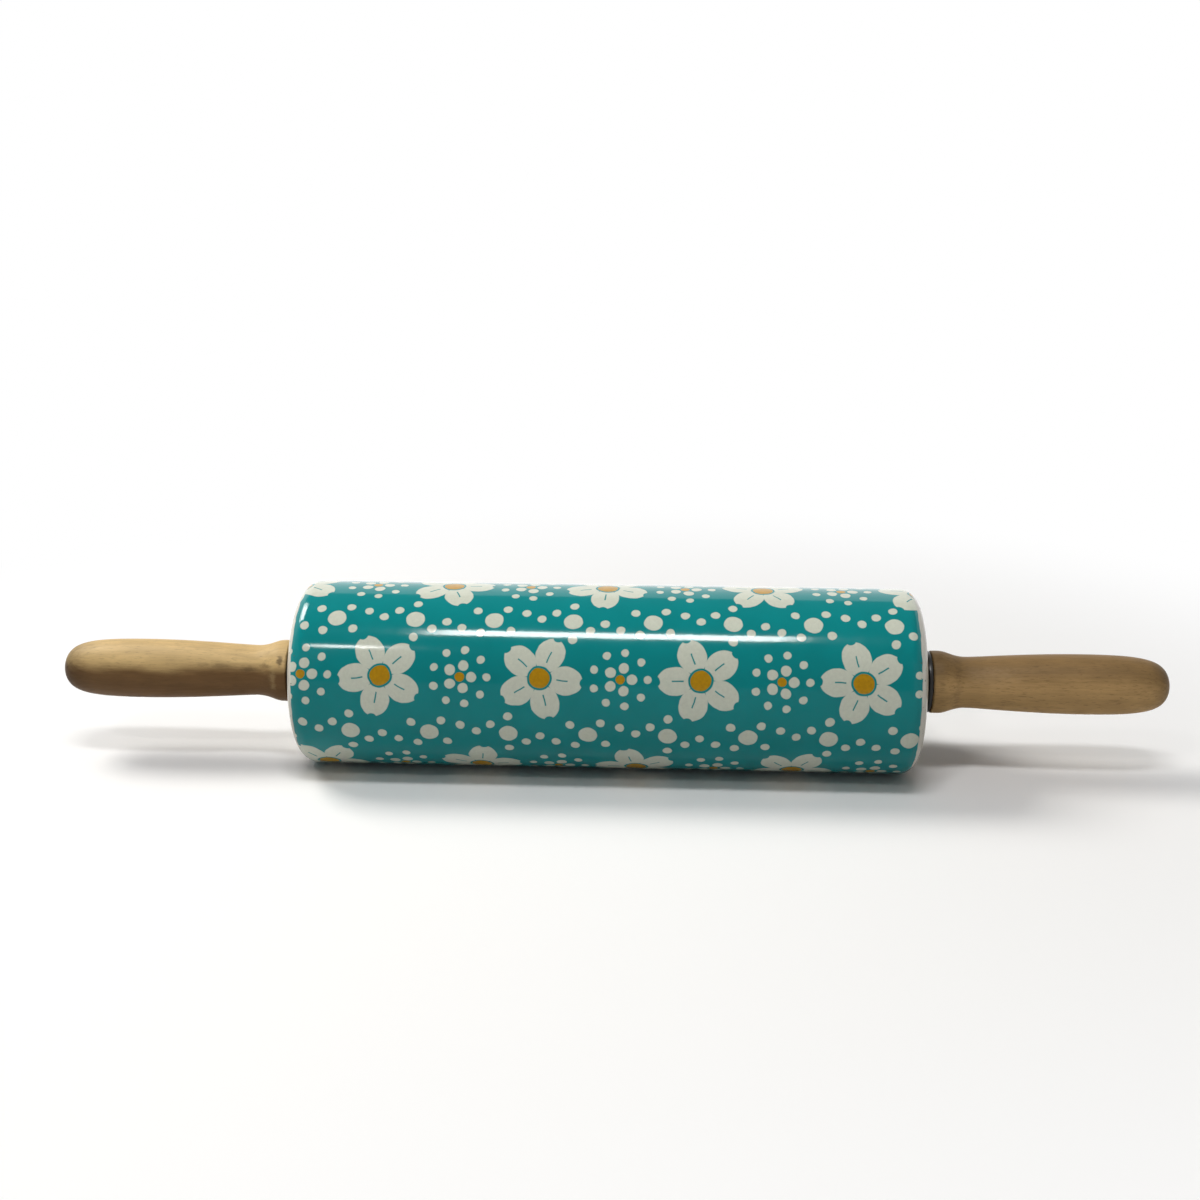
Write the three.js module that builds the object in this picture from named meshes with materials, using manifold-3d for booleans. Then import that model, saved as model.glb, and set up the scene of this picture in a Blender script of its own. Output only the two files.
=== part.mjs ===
// A rolling pin: a glazed ceramic barrel that turns on a steel axle between two turned wooden handles.
// Millimetres, +X along the axle, +Z up, origin on the axis at the middle of the barrel.

import * as THREE from 'three';
import { mergeVertices } from 'three/addons/utils/BufferGeometryUtils.js';
import Module from 'manifold-3d';

// Barrel: a thick hollow tube with rounded rims and a narrower mouth at each end.
const BARREL_DIAMETER = 70;
const BARREL_LENGTH = 233;
const RIM_RADIUS = 6.5;
const MOUTH_DIAMETER = 34;
const MOUTH_DEPTH = 18;
const CAVITY_DIAMETER = 42;
const CAVITY_SHOULDER = 9;

// Axle: a rod with turned-down ends that screw into the handles.
const AXLE_DIAMETER = 8;
const AXLE_END_DIAMETER = 6;
const AXLE_END_LENGTH = 24;
const AXLE_END_CHAMFER = 0.8;

// End bushes: moulded plugs with a flange, a thrust nose and a webbed hub.
const FLANGE_DIAMETER = 40;
const FLANGE_THICKNESS = 1.6;
const FLANGE_EDGE = 0.8;
const NOSE_DIAMETER = 23.2;
const NOSE_HEIGHT = 1;
const PLUG_LENGTH = 14;
const PLUG_WALL = 2;
const PLUG_LEAD_IN = 0.8;
const HUB_WALL = 2.6;
const HUB_LENGTH = 16;
const WEB_COUNT = 6;
const WEB_THICKNESS = 1.6;
const WEB_DEPTH = 11;
const WEB_ROOT = 0.6;

// Thrust washers between the bush noses and the handles.
const WASHER_THICKNESS = 1.5;
const WASHER_CHAMFER = 0.3;

// Threaded inserts in the handles.
const INSERT_DIAMETER = 10;
const INSERT_LENGTH = 20;
const INSERT_CHAMFER = 0.6;

// Handles: the stations run from the inner face, and those of the grip and the tip from the rounded end.
const HANDLE_LENGTH = 89;
const COLLAR_DIAMETER = 23.6;
const COLLAR_EDGE = 0.7;
const COLLAR_WIDTH = 3.2;
const NECK_DIAMETER = 19.3;
const NECK_STATION = 13.4;
const GRIP_DIAMETER = 22.7;
const GRIP_FROM_TIP = 32;
const TIP_DIAMETER = 21.2;
const TIP_ROUNDING = 12.7;
const TIP_SLOPE = 0.13;
const HOLE_DEPTH = 27;
const DRILL_POINT_ANGLE = 118;

// How far each curve of the handle leaves along its end tangent before it bends.
const COLLAR_PULL = 3;
const FLARE_PULL = 4.7;
const NECK_PULL = 4.8;
const GRIP_PULL_INWARD = 20;
const GRIP_PULL_OUTWARD = 9;
const SHOULDER_PULL = 3.8;
const TIP_PULL_ALONG = 8;
const TIP_PULL_ACROSS = 7.6;

// Clearances.
const RUNNING_CLEARANCE = 0.3;
const GLUE_LINE = 0.3;
const SEAT_GAP = 0.3;
const END_FLOAT = 0.7;

// Sides of the turned solids; an even count leaves a flat facet at the very bottom.
const BARREL_SIDES = 48;
const HANDLE_SIDES = 36;
const SMALL_SIDES = 32;
const ARC_STEPS = 6;
const CURVE_STEPS = 7;
const EDGE_STEPS = 3;

// Stations along the axis, measured outwards from the middle of the barrel.
const barrelEnd = BARREL_LENGTH / 2;
const flangeSeat = barrelEnd + GLUE_LINE;
const flangeFace = flangeSeat + FLANGE_THICKNESS;
const noseFace = flangeFace + NOSE_HEIGHT;
const washerSeat = noseFace + END_FLOAT;
const handleFace = washerSeat + WASHER_THICKNESS + SEAT_GAP;
const axleShoulder = handleFace - SEAT_GAP;

// Radii that follow from the sizes and clearances.
const axleBore = AXLE_DIAMETER / 2 + RUNNING_CLEARANCE;
const threadBore = AXLE_END_DIAMETER / 2 + SEAT_GAP;
const insertHole = INSERT_DIAMETER / 2 + GLUE_LINE;
const plugRadius = MOUTH_DIAMETER / 2 - GLUE_LINE;
const hubRadius = axleBore + HUB_WALL;

const wasm = await Module();
wasm.setup();

/** A point of a turned outline: its radius and its station along the axis. */
function at(radius, station) {
  return new THREE.Vector2(radius, station);
}

/** A quarter round about a centre, from one angle to another in quarter turns. */
function quarter(centre, radius, from, to, steps) {
  const angles = [from * Math.PI / 2, to * Math.PI / 2];
  return new THREE.EllipseCurve(centre.x, centre.y, radius, radius, ...angles, to < from).getPoints(steps);
}

/** A cubic curve through two end points, pulled by two control points. */
function curve(start, startPull, endPull, end, steps) {
  return new THREE.CubicBezierCurve(start, startPull, endPull, end).getPoints(steps);
}

/** An outline turned about the X axis, with a facet and not a corner at the bottom. */
function turned(outline, sides) {
  const apart = outline.filter((point, i) => i === 0 || point.distanceTo(outline[i - 1]) > 1e-6);
  const geometry = new THREE.LatheGeometry(apart, sides, Math.PI / sides);
  geometry.rotateZ(-Math.PI / 2);
  return geometry;
}

/** A closed geometry as a solid that can be joined. */
function solidOf(geometry) {
  const bare = geometry.clone();
  bare.deleteAttribute('normal');
  bare.deleteAttribute('uv');
  const merged = mergeVertices(bare);
  return new wasm.Manifold(new wasm.Mesh({
    numProp: 3,
    vertProperties: new Float32Array(merged.attributes.position.array),
    triVerts: new Uint32Array(merged.index.array),
  }));
}

/** A joined solid back as a geometry. */
function geometryOf(solid) {
  const mesh = solid.getMesh();
  const geometry = new THREE.BufferGeometry();
  geometry.setAttribute('position', new THREE.BufferAttribute(mesh.vertProperties, 3));
  geometry.setIndex(new THREE.BufferAttribute(mesh.triVerts, 1));
  geometry.computeVertexNormals();
  return geometry;
}

/** The barrel's outer wall, rims, mouths and cavity. */
function barrelGeometry() {
  const outer = BARREL_DIAMETER / 2;
  const rimCentre = outer - RIM_RADIUS;
  const rimStart = barrelEnd - RIM_RADIUS;
  const mouth = MOUTH_DIAMETER / 2;
  const cavity = CAVITY_DIAMETER / 2;
  const mouthEnd = barrelEnd - MOUTH_DEPTH;
  const cavityEnd = mouthEnd - CAVITY_SHOULDER;
  const bend = mouthEnd - CAVITY_SHOULDER / 2;
  const outline = [
    at(mouth, -barrelEnd),
    ...quarter(at(rimCentre, -rimStart), RIM_RADIUS, -1, 0, ARC_STEPS),
    ...quarter(at(rimCentre, rimStart), RIM_RADIUS, 0, 1, ARC_STEPS),
    at(mouth, barrelEnd),
    ...curve(at(mouth, mouthEnd), at(mouth, bend), at(cavity, bend), at(cavity, cavityEnd), EDGE_STEPS),
    ...curve(at(cavity, -cavityEnd), at(cavity, -bend), at(mouth, -bend), at(mouth, -mouthEnd), EDGE_STEPS),
    at(mouth, -barrelEnd),
  ];
  return turned(outline, BARREL_SIDES);
}

/** A bush: flange and nose outside the barrel, plug and hub inside it, with webs from hub to plug wall. */
function bushGeometry() {
  const flange = FLANGE_DIAMETER / 2;
  const nose = NOSE_DIAMETER / 2;
  const pocket = plugRadius - PLUG_WALL;
  const plugEnd = flangeSeat - PLUG_LENGTH;
  const hubEnd = flangeSeat - HUB_LENGTH;
  const outline = [
    at(plugRadius - PLUG_LEAD_IN, plugEnd),
    at(plugRadius, plugEnd + PLUG_LEAD_IN),
    at(plugRadius, flangeSeat),
    at(flange, flangeSeat),
    ...quarter(at(flange - FLANGE_EDGE, flangeFace - FLANGE_EDGE), FLANGE_EDGE, 0, 1, EDGE_STEPS),
    at(nose, flangeFace),
    at(nose, noseFace),
    at(axleBore, noseFace),
    at(axleBore, hubEnd),
    at(hubRadius, hubEnd),
    at(hubRadius, flangeSeat),
    at(pocket, flangeSeat),
    at(pocket, plugEnd),
    at(plugRadius - PLUG_LEAD_IN, plugEnd),
  ];
  const webSpan = pocket - hubRadius + 2 * WEB_ROOT;
  const webHeight = WEB_DEPTH + WEB_ROOT;
  const webs = Array.from({ length: WEB_COUNT }, (_, i) => {
    const web = new THREE.BoxGeometry(webHeight, WEB_THICKNESS, webSpan);
    web.translate(flangeSeat + WEB_ROOT - webHeight / 2, 0, (pocket + hubRadius) / 2);
    web.rotateX(2 * Math.PI * i / WEB_COUNT);
    return solidOf(web);
  });
  return geometryOf(webs.reduce((bush, web) => bush.add(web), solidOf(turned(outline, SMALL_SIDES))));
}

/** A thrust washer, a flat ring with eased edges. */
function washerGeometry() {
  const outer = NOSE_DIAMETER / 2;
  const washerFace = washerSeat + WASHER_THICKNESS;
  const outline = [
    at(axleBore, washerSeat),
    at(outer - WASHER_CHAMFER, washerSeat),
    at(outer, washerSeat + WASHER_CHAMFER),
    at(outer, washerFace - WASHER_CHAMFER),
    at(outer - WASHER_CHAMFER, washerFace),
    at(axleBore, washerFace),
    at(axleBore, washerSeat),
  ];
  return turned(outline, SMALL_SIDES);
}

/** The axle, whose shoulders stop on the inserts and so set the end float. */
function axleGeometry() {
  const shank = AXLE_DIAMETER / 2;
  const end = AXLE_END_DIAMETER / 2;
  const axleEnd = axleShoulder + AXLE_END_LENGTH;
  const half = [
    at(shank, axleShoulder),
    at(end, axleShoulder),
    at(end, axleEnd - AXLE_END_CHAMFER),
    at(end - AXLE_END_CHAMFER, axleEnd),
    at(0, axleEnd),
  ];
  const otherHalf = half.map((point) => at(point.x, -point.y)).reverse();
  return turned([...otherHalf, ...half], SMALL_SIDES);
}

/** A threaded insert, flush with the handle's inner face. */
function insertGeometry() {
  const outer = INSERT_DIAMETER / 2;
  const insertEnd = handleFace + INSERT_LENGTH;
  const outline = [
    at(threadBore, handleFace),
    at(outer - INSERT_CHAMFER, handleFace),
    at(outer, handleFace + INSERT_CHAMFER),
    at(outer, insertEnd - INSERT_CHAMFER),
    at(outer - INSERT_CHAMFER, insertEnd),
    at(threadBore, insertEnd),
    at(threadBore, handleFace),
  ];
  return turned(outline, SMALL_SIDES);
}

/** A turned handle: drilled hole, collar, flare to the neck, grip and rounded tip. */
function handleGeometry() {
  const tip = handleFace + HANDLE_LENGTH;
  const holeEnd = handleFace + HOLE_DEPTH;
  const holePoint = insertHole / Math.tan(THREE.MathUtils.degToRad(DRILL_POINT_ANGLE / 2));
  const collar = at(COLLAR_DIAMETER / 2, handleFace + COLLAR_WIDTH);
  const neck = at(NECK_DIAMETER / 2, handleFace + NECK_STATION);
  const grip = at(GRIP_DIAMETER / 2, tip - GRIP_FROM_TIP);
  const shoulder = at(TIP_DIAMETER / 2, tip - TIP_ROUNDING);
  const along = (point, pull) => at(point.x, point.y + pull);
  const sloped = (pull) => at(shoulder.x - TIP_SLOPE * pull, shoulder.y + pull);
  const outline = [
    at(0, holeEnd + holePoint),
    at(insertHole, holeEnd),
    at(insertHole, handleFace),
    ...quarter(at(collar.x - COLLAR_EDGE, handleFace + COLLAR_EDGE), COLLAR_EDGE, -1, 0, EDGE_STEPS),
    ...curve(collar, along(collar, COLLAR_PULL), along(neck, -FLARE_PULL), neck, CURVE_STEPS),
    ...curve(neck, along(neck, NECK_PULL), along(grip, -GRIP_PULL_INWARD), grip, CURVE_STEPS),
    ...curve(grip, along(grip, GRIP_PULL_OUTWARD), sloped(-SHOULDER_PULL), shoulder, CURVE_STEPS),
    ...curve(shoulder, sloped(TIP_PULL_ALONG), at(TIP_PULL_ACROSS, tip), at(0, tip), CURVE_STEPS),
  ];
  return turned(outline, HANDLE_SIDES);
}

/** A named piece with a finish of its own. */
function piece(name, geometry, color, roughness, metalness) {
  const mesh = new THREE.Mesh(geometry, new THREE.MeshStandardMaterial({ color, roughness, metalness }));
  mesh.name = name;
  return mesh;
}

/** The pieces at one end of the pin, modelled at the right-hand end. */
function endPieces(side) {
  const end = new THREE.Group();
  end.add(piece(`${side}_end_bush`, bushGeometry(), 0x1f1f1d, 0.45, 0));
  end.add(piece(`${side}_thrust_washer`, washerGeometry(), 0x262522, 0.5, 0));
  end.add(piece(`${side}_threaded_insert`, insertGeometry(), 0xb08d4a, 0.35, 1));
  end.add(piece(`${side}_handle`, handleGeometry(), 0xc09a63, 0.55, 0));
  return end;
}

const rollingPin = new THREE.Group();
rollingPin.name = 'rolling_pin';
rollingPin.add(piece('barrel', barrelGeometry(), 0x007a7d, 0.12, 0));
rollingPin.add(piece('axle_rod', axleGeometry(), 0xa9abad, 0.3, 1));
rollingPin.add(endPieces('right'));
const leftEnd = endPieces('left');
leftEnd.rotation.z = Math.PI;
rollingPin.add(leftEnd);

export default rollingPin;
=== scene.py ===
"""Looks of a ceramic rolling pin: a printed, glazed barrel, moulded bushes and turned wooden handles."""

import logging
import math
from dataclasses import dataclass, field
from enum import Enum

import bpy
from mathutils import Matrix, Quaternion, Vector
from mathutils.geometry import interpolate_bezier


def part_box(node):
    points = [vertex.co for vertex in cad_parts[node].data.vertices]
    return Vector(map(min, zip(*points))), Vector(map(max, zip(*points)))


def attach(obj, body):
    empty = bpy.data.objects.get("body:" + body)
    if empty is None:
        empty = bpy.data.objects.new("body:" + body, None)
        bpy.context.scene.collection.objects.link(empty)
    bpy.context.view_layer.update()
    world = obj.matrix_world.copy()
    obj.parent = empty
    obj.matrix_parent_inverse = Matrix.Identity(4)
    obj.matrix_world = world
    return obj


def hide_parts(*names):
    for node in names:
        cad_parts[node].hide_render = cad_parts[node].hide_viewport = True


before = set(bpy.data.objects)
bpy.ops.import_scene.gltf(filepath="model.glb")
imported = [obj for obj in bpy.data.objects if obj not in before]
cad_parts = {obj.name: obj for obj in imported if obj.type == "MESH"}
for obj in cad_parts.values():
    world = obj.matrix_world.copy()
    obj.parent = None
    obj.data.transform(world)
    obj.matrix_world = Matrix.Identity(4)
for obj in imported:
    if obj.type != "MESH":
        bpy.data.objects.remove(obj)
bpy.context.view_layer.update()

LOG = logging.getLogger("rolling_pin")
MM = 0.001
FULL_TURN = 2 * math.pi
SMOOTH_ANGLE = math.radians(32)
SAME_POINT = 1e-6
WELD_GAP = 2e-6
NOISE_MIDDLE = 0.5
WHITE = (1.0, 1.0, 1.0)
# The mix node's colour sockets by place, because others share their names.
MIX_COLOURS = (6, 7)
MIX_RESULT = 2

Colour = tuple[float, float, float]
Outline = list[tuple[float, float]]
Range = tuple[float, float]
# Features in a metre, and finer octaves.
Noise = tuple[float, float]
# Features in a metre along the axle and across it, and finer octaves.
DrawnNoise = tuple[float, float, float]
# How strongly a bump shows, and its depth in metres.
Relief = tuple[float, float]


class Side(Enum):
    """The two ends of the pin, by the sign of their place along the axle."""

    LEFT = -1
    RIGHT = 1

    @property
    def word(self) -> str:
        """The name of the end, as the nodes spell it."""
        return self.name.lower()


class Body(Enum):
    """The moving bodies of the pin."""

    ROLLER = "roller"
    WASHERS = "washers"
    HANDLES = "handles"


class Slot(Enum):
    """The material slots of the pin."""

    CERAMIC = "glazed_ceramic"
    WOOD = "turned_wood"
    BUSH = "bush_plastic"
    WASHER = "washer_plastic"
    STEEL = "axle_steel"
    BRASS = "insert_brass"


@dataclass(frozen=True)
class Signal:
    """A number that varies over a surface, with arithmetic that adds math nodes."""

    sheet: "Sheet"
    socket: bpy.types.NodeSocket

    def __add__(self, other: "Number") -> "Signal":
        """The sum."""
        return self.sheet.math("ADD", self, other)

    def __radd__(self, other: float) -> "Signal":
        """A constant and this signal."""
        return self.sheet.math("ADD", other, self)

    def __sub__(self, other: "Number") -> "Signal":
        """The difference."""
        return self.sheet.math("SUBTRACT", self, other)

    def __rsub__(self, other: float) -> "Signal":
        """A constant less this signal."""
        return self.sheet.math("SUBTRACT", other, self)

    def __mul__(self, other: "Number") -> "Signal":
        """The product."""
        return self.sheet.math("MULTIPLY", self, other)

    def __truediv__(self, other: "Number") -> "Signal":
        """The quotient."""
        return self.sheet.math("DIVIDE", self, other)

    def __abs__(self) -> "Signal":
        """The size without its sign."""
        return self.sheet.math("ABSOLUTE", self)

    def squared(self) -> "Signal":
        """The square."""
        return self.sheet.math("MULTIPLY", self, self)

    def root(self) -> "Signal":
        """The square root."""
        return self.sheet.math("SQRT", self)

    def rounded(self) -> "Signal":
        """The nearest whole number."""
        return self.sheet.math("ROUND", self)

    def at_least(self, other: "Number") -> "Signal":
        """The larger of the two."""
        return self.sheet.math("MAXIMUM", self, other)

    def swing(self) -> "Signal":
        """How far a noise is from its middle."""
        return self - NOISE_MIDDLE


Number = Signal | float
Place = tuple[Signal, Signal, Signal]


class Sheet:
    """A material's node sheet, with short calls for the nodes that the finishes use."""

    def __init__(self, name: str) -> None:
        """Starts an empty material with an output.

        Args:
            name: The material's name.
        """
        self.material = bpy.data.materials.new(name)
        self.material.use_nodes = True
        self.tree = self.material.node_tree
        self.tree.nodes.clear()
        self.output = self.node("ShaderNodeOutputMaterial")

    def node(self, kind: str, **settings: object) -> bpy.types.Node:
        """Adds a node.

        Args:
            kind: The node's type name.
            **settings: Properties of the node.

        Returns:
            The new node.
        """
        made = self.tree.nodes.new(kind)
        for key, value in settings.items():
            setattr(made, key, value)
        return made

    def plug(self, socket: bpy.types.NodeSocket, value: object) -> None:
        """Links a signal or socket to an input, or sets the input to a constant.

        Args:
            socket: The input.
            value: A signal, a socket or a constant.
        """
        if isinstance(value, Signal):
            self.tree.links.new(value.socket, socket)
        elif isinstance(value, bpy.types.NodeSocket):
            self.tree.links.new(value, socket)
        elif isinstance(value, tuple) and len(value) == 3 and socket.type == "RGBA":
            socket.default_value = (*value, 1.0)
        else:
            socket.default_value = value

    def math(self, operation: str, first: Number, second: Number = 0.0, clamp: bool = False) -> Signal:
        """Adds a math node.

        Args:
            operation: The node's operation.
            first: The first operand.
            second: The second operand, where the operation has one.
            clamp: Whether the result stays between 0 and 1.

        Returns:
            The result.
        """
        made = self.node("ShaderNodeMath", operation=operation, use_clamp=clamp)
        self.plug(made.inputs[0], first)
        self.plug(made.inputs[1], second)
        return Signal(self, made.outputs[0])

    def place(self) -> Place:
        """The surface point in the object's own frame, in metres.

        Returns:
            The three coordinates.
        """
        coordinate = self.node("ShaderNodeTexCoord")
        split = self.node("ShaderNodeSeparateXYZ")
        self.plug(split.inputs[0], coordinate.outputs["Object"])
        return tuple(Signal(self, out) for out in split.outputs)

    def vector(self, x: Number, y: Number, z: Number) -> bpy.types.NodeSocket:
        """Joins three numbers into a vector.

        Args:
            x: The first coordinate.
            y: The second coordinate.
            z: The third coordinate.

        Returns:
            The vector's socket.
        """
        joined = self.node("ShaderNodeCombineXYZ")
        for socket, value in zip(joined.inputs, (x, y, z)):
            self.plug(socket, value)
        return joined.outputs[0]

    def noise(self, vector: bpy.types.NodeSocket, scale: float, detail: float) -> Signal:
        """Adds a noise texture.

        Args:
            vector: Where the noise is read.
            scale: How many features there are in one unit of the vector.
            detail: How many finer octaves are added.

        Returns:
            The noise, between 0 and 1 with a middle near 0.5.
        """
        made = self.node("ShaderNodeTexNoise")
        self.plug(made.inputs["Vector"], vector)
        made.inputs["Scale"].default_value = scale
        made.inputs["Detail"].default_value = detail
        return Signal(self, made.outputs["Fac"])

    def drawn(self, place: Place, along: float, across: float, detail: float) -> Signal:
        """Adds a noise texture with one scale along the axle and another across it.

        Args:
            place: The surface point.
            along: How many features there are in a metre along the axle.
            across: How many there are in a metre across it.
            detail: How many finer octaves are added.

        Returns:
            The noise, between 0 and 1 with a middle near 0.5.
        """
        x, y, z = place
        return self.noise(self.vector(x * along, y * across, z * across), 1.0, detail)

    def between(self, value: Number, low: float, high: float) -> Signal:
        """A smooth step from 0 at low to 1 at high.

        Args:
            value: The number to test.
            low: Where the step starts.
            high: Where the step ends.

        Returns:
            The step.
        """
        made = self.node("ShaderNodeMapRange", interpolation_type="SMOOTHSTEP")
        self.plug(made.inputs["Value"], value)
        made.inputs["From Min"].default_value = low
        made.inputs["From Max"].default_value = high
        return Signal(self, made.outputs["Result"])

    def spread(self, value: Number, low: float, high: float) -> Signal:
        """Spreads a 0 to 1 signal evenly over a range.

        Args:
            value: The signal.
            low: The result at 0.
            high: The result at 1.

        Returns:
            The spread signal.
        """
        made = self.node("ShaderNodeMapRange")
        self.plug(made.inputs["Value"], value)
        made.inputs["To Min"].default_value = low
        made.inputs["To Max"].default_value = high
        return Signal(self, made.outputs["Result"])

    def mix(self, share: Number, first: object, second: object) -> bpy.types.NodeSocket:
        """Mixes two colours.

        Args:
            share: How much of the second colour shows.
            first: The first colour.
            second: The second colour.

        Returns:
            The mixed colour.
        """
        made = self.node("ShaderNodeMix", data_type="RGBA")
        self.plug(made.inputs[0], share)
        for index, colour in zip(MIX_COLOURS, (first, second)):
            self.plug(made.inputs[index], colour)
        return made.outputs[MIX_RESULT]

    def shade(self, colour: object, amount: Number) -> bpy.types.NodeSocket:
        """Multiplies a colour by a grey amount.

        Args:
            colour: The colour.
            amount: The factor, 1 for no change.

        Returns:
            The shaded colour.
        """
        made = self.node("ShaderNodeVectorMath", operation="SCALE")
        self.plug(made.inputs[0], colour)
        self.plug(made.inputs["Scale"], amount)
        return made.outputs[0]

    def toned(self, colour: Colour, noise: Signal, tone: Range) -> bpy.types.NodeSocket:
        """A colour that a noise varies between two factors."""
        return self.shade(colour, self.spread(noise, *tone))

    def bump(self, height: Number, strength: float, depth: float) -> bpy.types.NodeSocket:
        """Turns a height into a surface normal.

        Args:
            height: The height signal, between 0 and 1.
            strength: How strongly it shows.
            depth: The height of 1, in metres.

        Returns:
            The normal.
        """
        made = self.node("ShaderNodeBump")
        made.inputs["Strength"].default_value = strength
        made.inputs["Distance"].default_value = depth
        self.plug(made.inputs["Height"], height)
        return made.outputs[0]

    def surface(self, **sockets: object) -> bpy.types.Material:
        """Adds the surface shader and closes the sheet.

        Args:
            **sockets: Inputs of the shader, with underscores for spaces.

        Returns:
            The finished material.
        """
        shader = self.node("ShaderNodeBsdfPrincipled")
        for key, value in sockets.items():
            self.plug(shader.inputs[key.replace("_", " ")], value)
        self.plug(self.output.inputs["Surface"], shader.outputs[0])
        return self.material


@dataclass(frozen=True)
class Cell:
    """The place of a surface point within a repeat of the print, in millimetres from the motif's centre."""

    along: Signal
    around: Signal
    row: Signal
    column: Signal

    def radius(self) -> Signal:
        """The distance from the motif's centre."""
        return (self.along.squared() + self.around.squared()).root()


@dataclass(frozen=True)
class GlazedPrint:
    """Blossoms, posies and dots printed on the barrel under a clear glaze, with bare white rims.

    Lengths of the print are in millimetres on the barrel's surface. The places of the motifs are shares
    of the print's pitch along the barrel and of its row gap round it.
    """

    barrel_radius: float
    barrel_half: float
    teal: Colour = (0.0, 0.242, 0.252)
    cream: Colour = (0.63, 0.66, 0.555)
    ochre: Colour = (0.5, 0.262, 0.004)
    body: Colour = (0.68, 0.66, 0.58)
    soot: Colour = (0.07, 0.075, 0.06)
    rows: int = 5
    pitch: float = 58.0
    stagger_share: float = 0.4
    blossom_place: tuple[float, float] = (0.0, 0.0)
    posy_place: tuple[float, float] = (0.5, 0.0)
    petals: int = 5
    petal_centre: float = 9.3
    petal_length: float = 6.3
    petal_width: float = 5.2
    notch_radius: float = 2.0
    notch_centre: float = 16.6
    slit_width: float = 0.5
    slit_start: float = 6.2
    slit_end: float = 10.4
    heart_radius: float = 3.7
    heart_gap: float = 0.8
    posy_ring: float = 4.3
    posy_petal: float = 1.9
    posy_heart: float = 1.7
    wreath_dots: int = 9
    wreath_radius: float = 9.9
    wreath_dot: float = 1.45
    large_dot: float = 3.4
    large_dots: tuple[tuple[float, float], ...] = ((0.2, 0.5), (0.7, 0.5))
    small_dot: float = 1.65
    small_dots: tuple[tuple[float, float], ...] = (
        (0.31, 0.41), (0.09, 0.59), (0.81, 0.4), (0.59, 0.6), (0.0, 0.52), (0.4, 0.48),
        (0.5, 0.42), (0.9, 0.58), (0.62, 0.38), (0.78, 0.62), (0.2, 0.33), (0.2, 0.67),
    )
    ink_edge: float = 0.16
    wobble: float = 0.7
    bare_rim: float = 2.55
    print_shift: float = -0.35
    waver_along: Noise = (260.0, 1.0)
    waver_around: Noise = (230.0, 1.0)
    cloud: Noise = (55.0, 3.0)
    speck: Noise = (900.0, 2.0)
    teal_tone: Range = (0.86, 1.12)
    cream_tone: Range = (0.9, 1.08)
    ochre_tone: Range = (0.75, 1.2)
    body_tone: Range = (0.94, 1.05)
    print_depth: Range = (6 * MM, 7 * MM)
    pinhole: Noise = (760.0, 1.0)
    pinhole_size: Range = (0.69, 0.74)
    pinhole_band: Range = (0.6, 2.2)
    pinhole_share: float = 0.8
    gloss: Noise = (140.0, 2.0)
    roughness: Range = (0.06, 0.14)
    glaze_ior: float = 1.33
    ripple: Noise = (32.0, 1.5)
    ripple_relief: Relief = (0.25, 0.3 * MM)

    def row_gap(self) -> float:
        """The distance from row to row round the barrel."""
        return FULL_TURN * self.barrel_radius / MM / self.rows

    def cell(self, along: Signal, around: Signal, shares: tuple[float, float]) -> Cell:
        """Finds the repeat of the staggered print that a point lies in.

        Args:
            along: The place along the axle.
            around: The place around the barrel.
            shares: The motif's place in the repeat, along and around.

        Returns:
            The point's place from the motif's centre, and the repeat's row and column.
        """
        from_row = around - shares[1] * self.row_gap()
        row = (from_row / self.row_gap()).rounded()
        from_column = along - shares[0] * self.pitch - row * (self.stagger_share * self.pitch)
        column = (from_column / self.pitch).rounded()
        return Cell(from_column - column * self.pitch, from_row - row * self.row_gap(), row, column)

    def inked(self, sheet: Sheet, distance: Signal) -> Signal:
        """Full ink where the distance to a motif's edge is negative, with a soft printed edge."""
        return 1.0 - sheet.between(distance, -self.ink_edge, self.ink_edge)

    def folded(self, sheet: Sheet, cell: Cell, count: int, turned: Number) -> tuple[Signal, Signal]:
        """Folds a repeat into one of the equal sectors round its motif's centre.

        Args:
            sheet: The node sheet.
            cell: The place in the repeat.
            count: How many sectors there are.
            turned: How far the motif is turned, in radians.

        Returns:
            The places along and across the sector.
        """
        sector = FULL_TURN / count
        angle = sheet.math("ARCTAN2", cell.around, cell.along) + turned
        angle = angle - (angle / sector).rounded() * sector
        return cell.radius() * sheet.math("COSINE", angle), cell.radius() * sheet.math("SINE", angle)

    def wreath(self, sheet: Sheet, cell: Cell, count: int, ring: float, dot: float) -> Signal:
        """A ring of round dots in each repeat."""
        out, across = self.folded(sheet, cell, count, 0.0)
        return self.inked(sheet, ((out - ring).squared() + across.squared()).root() - dot)

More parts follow.
